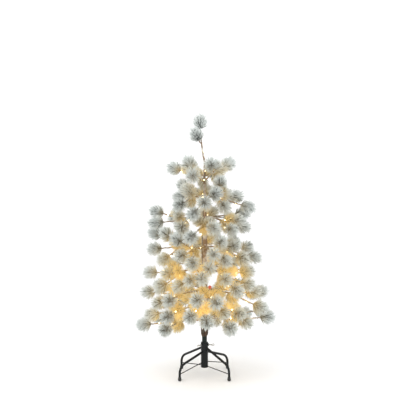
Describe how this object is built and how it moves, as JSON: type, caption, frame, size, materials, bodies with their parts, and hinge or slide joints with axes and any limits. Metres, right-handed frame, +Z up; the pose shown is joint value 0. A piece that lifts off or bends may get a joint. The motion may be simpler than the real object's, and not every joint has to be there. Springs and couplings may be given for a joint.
{
  "type": "artificial tabletop tree",
  "caption": "Snow-flocked artificial pine tabletop tree with warm fairy lights on bendable branches, a two-section pole and a folding metal leg stand.",
  "frame": {"origin": "on the surface it stands on, under the pole's axis", "axes": "+Z up along the pole, -Y towards the front as seen in the picture, +X to the viewer's right"},
  "size_m": [0.6406, 0.629, 1.2],
  "materials": {
    "flocked_needles": "matte",
    "stand_paint": "satin",
    "pole_paint": "satin",
    "foot_cap_plastic": "satin",
    "screw_zinc": "satin",
    "bark_wrapping": "matte",
    "tag_plastic": "satin",
    "light_string": "gloss"
  },
  "bodies": {
    "stand": {"stand_tube": "stand_paint", "upper_collar": "stand_paint", "end_ring": "stand_paint", "leg_back_left": "stand_paint", "strut_back_left": "stand_paint", "foot_cap_back_left": "foot_cap_plastic", "leg_front_right": "stand_paint", "strut_front_right": "stand_paint", "foot_cap_front_right": "foot_cap_plastic"},
    "swing_legs": {"rotating_sleeve": "stand_paint", "leg_front_left": "stand_paint", "strut_front_left": "stand_paint", "foot_cap_front_left": "foot_cap_plastic", "leg_back_right": "stand_paint", "strut_back_right": "stand_paint", "foot_cap_back_right": "foot_cap_plastic"},
    "thumb_screw_1": {"thumb_screw_1": "screw_zinc"},
    "thumb_screw_2": {"thumb_screw_2": "screw_zinc"},
    "thumb_screw_3": {"thumb_screw_3": "screw_zinc"},
    "tree_lower": {"lower_pole": "pole_paint", "lower_trunk_wrap": "bark_wrapping", "colour_tag": "tag_plastic", "light_string_lower": "light_string"},
    "tree_upper": {"upper_pole": "pole_paint", "upper_trunk_wrap": "bark_wrapping", "leader": "flocked_needles", "light_string_upper": "light_string"},
    "branch_1_left": {"branch_1_left": "flocked_needles"},
    "branch_1_right": {"branch_1_right": "flocked_needles"},
    "branch_1_back": {"branch_1_back": "flocked_needles"},
    "branch_2_left": {"branch_2_left": "flocked_needles"},
    "branch_2_right": {"branch_2_right": "flocked_needles"},
    "branch_2_front": {"branch_2_front": "flocked_needles"},
    "branch_2_back": {"branch_2_back": "flocked_needles"},
    "branch_3_left": {"branch_3_left": "flocked_needles"},
    "branch_3_right": {"branch_3_right": "flocked_needles"},
    "branch_3_front": {"branch_3_front": "flocked_needles"},
    "branch_3_back": {"branch_3_back": "flocked_needles"},
    "branch_4_left": {"branch_4_left": "flocked_needles"},
    "branch_4_front_left": {"branch_4_front_left": "flocked_needles"},
    "branch_4_front_right": {"branch_4_front_right": "flocked_needles"},
    "branch_4_right": {"branch_4_right": "flocked_needles"},
    "branch_4_back": {"branch_4_back": "flocked_needles"},
    "branch_5_left": {"branch_5_left": "flocked_needles"},
    "branch_5_front": {"branch_5_front": "flocked_needles"},
    "branch_5_right": {"branch_5_right": "flocked_needles"},
    "branch_5_back": {"branch_5_back": "flocked_needles"},
    "branch_6_left": {"branch_6_left": "flocked_needles"},
    "branch_6_front": {"branch_6_front": "flocked_needles"},
    "branch_6_right": {"branch_6_right": "flocked_needles"},
    "branch_6_back_left": {"branch_6_back_left": "flocked_needles"},
    "branch_6_back_right": {"branch_6_back_right": "flocked_needles"},
    "branch_7_left": {"branch_7_left": "flocked_needles"},
    "branch_7_front": {"branch_7_front": "flocked_needles"},
    "branch_7_right": {"branch_7_right": "flocked_needles"},
    "branch_7_back": {"branch_7_back": "flocked_needles"},
    "branch_8_left": {"branch_8_left": "flocked_needles"},
    "branch_8_right": {"branch_8_right": "flocked_needles"},
    "branch_8_back": {"branch_8_back": "flocked_needles"}
  },
  "joints": [
    {"name": "stand_fold", "type": "hinge", "parent": "stand", "child": "swing_legs", "pos_m": [0, 0, 0.08], "axis": [0, 0, 1], "range_deg": [0, 83]},
    {"name": "thumb_screw_1_back_out", "type": "slide", "parent": "stand", "child": "thumb_screw_1", "axis": [0.9659, -0.2588, 0], "range_m": [0, 0.008]},
    {"name": "thumb_screw_2_back_out", "type": "slide", "parent": "stand", "child": "thumb_screw_2", "axis": [-0.2588, 0.9659, 0], "range_m": [0, 0.008]},
    {"name": "thumb_screw_3_back_out", "type": "slide", "parent": "stand", "child": "thumb_screw_3", "axis": [-0.7071, -0.7071, 0], "range_m": [0, 0.008]},
    {"name": "tree_lift_out", "type": "slide", "parent": "stand", "child": "tree_lower", "axis": [0, 0, 1], "range_m": [0, 0.12]},
    {"name": "section_lift_off", "type": "slide", "parent": "tree_lower", "child": "tree_upper", "axis": [0, 0, 1], "range_m": [0, 0.065]},
    {"name": "branch_1_left_bend", "type": "hinge", "parent": "tree_upper", "child": "branch_1_left", "pos_m": [-0.00521, -0.00321, 0.89], "axis": [-0.5241, 0.8517, 0], "range_deg": [-12, 55], "deforming": ["branch_1_left"]},
    {"name": "branch_1_right_bend", "type": "hinge", "parent": "tree_upper", "child": "branch_1_right", "pos_m": [0.00555, -0.00238, 0.899], "axis": [-0.3939, -0.9191, 0], "range_deg": [-12, 55], "deforming": ["branch_1_right"]},
    {"name": "branch_1_back_bend", "type": "hinge", "parent": "tree_upper", "child": "branch_1_back", "pos_m": [-0.00027, 0.00611, 0.89], "axis": [0.9991, 0.0434, 0], "range_deg": [-12, 55], "deforming": ["branch_1_back"]},
    {"name": "branch_2_left_bend", "type": "hinge", "parent": "tree_upper", "child": "branch_2_left", "pos_m": [-0.00706, -0.00353, 0.81], "axis": [-0.4472, 0.8944, 0], "range_deg": [-12, 55], "deforming": ["branch_2_left"]},
    {"name": "branch_2_right_bend", "type": "hinge", "parent": "tree_upper", "child": "branch_2_right", "pos_m": [0.00717, -0.00239, 0.819], "axis": [-0.3162, -0.9487, 0], "range_deg": [-12, 55], "deforming": ["branch_2_right"]},
    {"name": "branch_2_front_bend", "type": "hinge", "parent": "tree_upper", "child": "branch_2_front", "pos_m": [0, -0.0079, 0.81], "axis": [-1, 0, 0], "range_deg": [-12, 55], "deforming": ["branch_2_front"]},
    {"name": "branch_2_back_bend", "type": "hinge", "parent": "tree_upper", "child": "branch_2_back", "pos_m": [-0.00016, 0.00756, 0.819], "axis": [0.9998, 0.0217, 0], "range_deg": [-12, 55], "deforming": ["branch_2_back"]},
    {"name": "branch_3_left_bend", "type": "hinge", "parent": "tree_upper", "child": "branch_3_left", "pos_m": [-0.01083, -0.00381, 0.715], "axis": [-0.3319, 0.9433, 0], "range_deg": [-12, 55], "deforming": ["branch_3_left"]},
    {"name": "branch_3_right_bend", "type": "hinge", "parent": "tree_upper", "child": "branch_3_right", "pos_m": [0.00992, -0.00507, 0.724], "axis": [-0.4551, -0.8904, 0], "range_deg": [-12, 55], "deforming": ["branch_3_right"]},
    {"name": "branch_3_front_bend", "type": "hinge", "parent": "tree_upper", "child": "branch_3_front", "pos_m": [-0.00057, -0.01147, 0.715], "axis": [-0.9988, 0.0499, 0], "range_deg": [-12, 55], "deforming": ["branch_3_front"]},
    {"name": "branch_3_back_bend", "type": "hinge", "parent": "tree_upper", "child": "branch_3_back", "pos_m": [0.00199, 0.01097, 0.724], "axis": [0.9839, -0.1789, 0], "range_deg": [-12, 55], "deforming": ["branch_3_back"]},
    {"name": "branch_4_left_bend", "type": "hinge", "parent": "tree_upper", "child": "branch_4_left", "pos_m": [-0.0135, -0.00367, 0.58], "axis": [-0.2621, 0.965, 0], "range_deg": [-12, 55], "deforming": ["branch_4_left"]},
    {"name": "branch_4_front_left_bend", "type": "hinge", "parent": "tree_upper", "child": "branch_4_front_left", "pos_m": [-0.00557, -0.01279, 0.589], "axis": [-0.9168, 0.3993, 0], "range_deg": [-12, 55], "deforming": ["branch_4_front_left"]},
    {"name": "branch_4_front_right_bend", "type": "hinge", "parent": "tree_upper", "child": "branch_4_front_right", "pos_m": [0.00423, -0.01334, 0.58], "axis": [-0.9531, -0.3026, 0], "range_deg": [-12, 55], "deforming": ["branch_4_front_right"]},
    {"name": "branch_4_right_bend", "type": "hinge", "parent": "tree_upper", "child": "branch_4_right", "pos_m": [0.01366, -0.00281, 0.589], "axis": [-0.2013, -0.9795, 0], "range_deg": [-12, 55], "deforming": ["branch_4_right"]},
    {"name": "branch_4_back_bend", "type": "hinge", "parent": "tree_upper", "child": "branch_4_back", "pos_m": [0.00053, 0.01398, 0.58], "axis": [0.9993, -0.0379, 0], "range_deg": [-12, 55], "deforming": ["branch_4_back"]},
    {"name": "branch_5_left_bend", "type": "hinge", "parent": "tree_upper", "child": "branch_5_left", "pos_m": [-0.013, -0.00628, 0.49], "axis": [-0.4352, 0.9003, 0], "range_deg": [-12, 55], "deforming": ["branch_5_left"]},
    {"name": "branch_5_front_bend", "type": "hinge", "parent": "tree_upper", "child": "branch_5_front", "pos_m": [-0.00242, -0.01419, 0.499], "axis": [-0.9858, 0.1678, 0], "range_deg": [-12, 55], "deforming": ["branch_5_front"]},
    {"name": "branch_5_right_bend", "type": "hinge", "parent": "tree_upper", "child": "branch_5_right", "pos_m": [0.01013, -0.01029, 0.49], "axis": [-0.7128, -0.7013, 0], "range_deg": [-12, 55], "deforming": ["branch_5_right"]},
    {"name": "branch_5_back_bend", "type": "hinge", "parent": "tree_upper", "child": "branch_5_back", "pos_m": [0.0027, 0.01414, 0.499], "axis": [0.9822, -0.1876, 0], "range_deg": [-12, 55], "deforming": ["branch_5_back"]},
    {"name": "branch_6_left_bend", "type": "hinge", "parent": "tree_lower", "child": "branch_6_left", "pos_m": [-0.01322, -0.00758, 0.385], "axis": [-0.4977, 0.8674, 0], "range_deg": [-12, 55], "deforming": ["branch_6_left"]},
    {"name": "branch_6_front_bend", "type": "hinge", "parent": "tree_lower", "child": "branch_6_front", "pos_m": [0.00197, -0.01498, 0.394], "axis": [-0.9915, -0.1305, 0], "range_deg": [-12, 55], "deforming": ["branch_6_front"]},
    {"name": "branch_6_right_bend", "type": "hinge", "parent": "tree_lower", "child": "branch_6_right", "pos_m": [0.015, -0.00267, 0.385], "axis": [-0.1753, -0.9845, 0], "range_deg": [-12, 55], "deforming": ["branch_6_right"]},
    {"name": "branch_6_back_left_bend", "type": "hinge", "parent": "tree_lower", "child": "branch_6_back_left", "pos_m": [-0.00838, 0.01258, 0.394], "axis": [0.8321, 0.5547, 0], "range_deg": [-12, 55], "deforming": ["branch_6_back_left"]},
    {"name": "branch_6_back_right_bend", "type": "hinge", "parent": "tree_lower", "child": "branch_6_back_right", "pos_m": [0.00957, 0.01186, 0.385], "axis": [0.7782, -0.628, 0], "range_deg": [-12, 55], "deforming": ["branch_6_back_right"]},
    {"name": "branch_7_left_bend", "type": "hinge", "parent": "tree_lower", "child": "branch_7_left", "pos_m": [-0.01398, -0.00804, 0.32], "axis": [-0.4985, 0.8669, 0], "range_deg": [-12, 55], "deforming": ["branch_7_left"]},
    {"name": "branch_7_front_bend", "type": "hinge", "parent": "tree_lower", "child": "branch_7_front", "pos_m": [-0.00174, -0.0159, 0.329], "axis": [-0.994, 0.1089, 0], "range_deg": [-12, 55], "deforming": ["branch_7_front"]},
    {"name": "branch_7_right_bend", "type": "hinge", "parent": "tree_lower", "child": "branch_7_right", "pos_m": [0.01106, -0.01173, 0.32], "axis": [-0.7276, -0.686, 0], "range_deg": [-12, 55], "deforming": ["branch_7_right"]},
    {"name": "branch_7_back_bend", "type": "hinge", "parent": "tree_lower", "child": "branch_7_back", "pos_m": [-0.00576, 0.01493, 0.329], "axis": [0.933, 0.3599, 0], "range_deg": [-12, 55], "deforming": ["branch_7_back"]},
    {"name": "branch_8_left_bend", "type": "hinge", "parent": "tree_lower", "child": "branch_8_left", "pos_m": [-0.01703, -0.00127, 0.25], "axis": [-0.0744, 0.9972, 0], "range_deg": [-12, 55], "deforming": ["branch_8_left"]},
    {"name": "branch_8_right_bend", "type": "hinge", "parent": "tree_lower", "child": "branch_8_right", "pos_m": [0.0147, -0.00845, 0.259], "axis": [-0.4985, -0.8669, 0], "range_deg": [-12, 55], "deforming": ["branch_8_right"]},
    {"name": "branch_8_back_bend", "type": "hinge", "parent": "tree_lower", "child": "branch_8_back", "pos_m": [0.00829, 0.01493, 0.25], "axis": [0.8742, -0.4856, 0], "range_deg": [-12, 55], "deforming": ["branch_8_back"]}
  ]
}
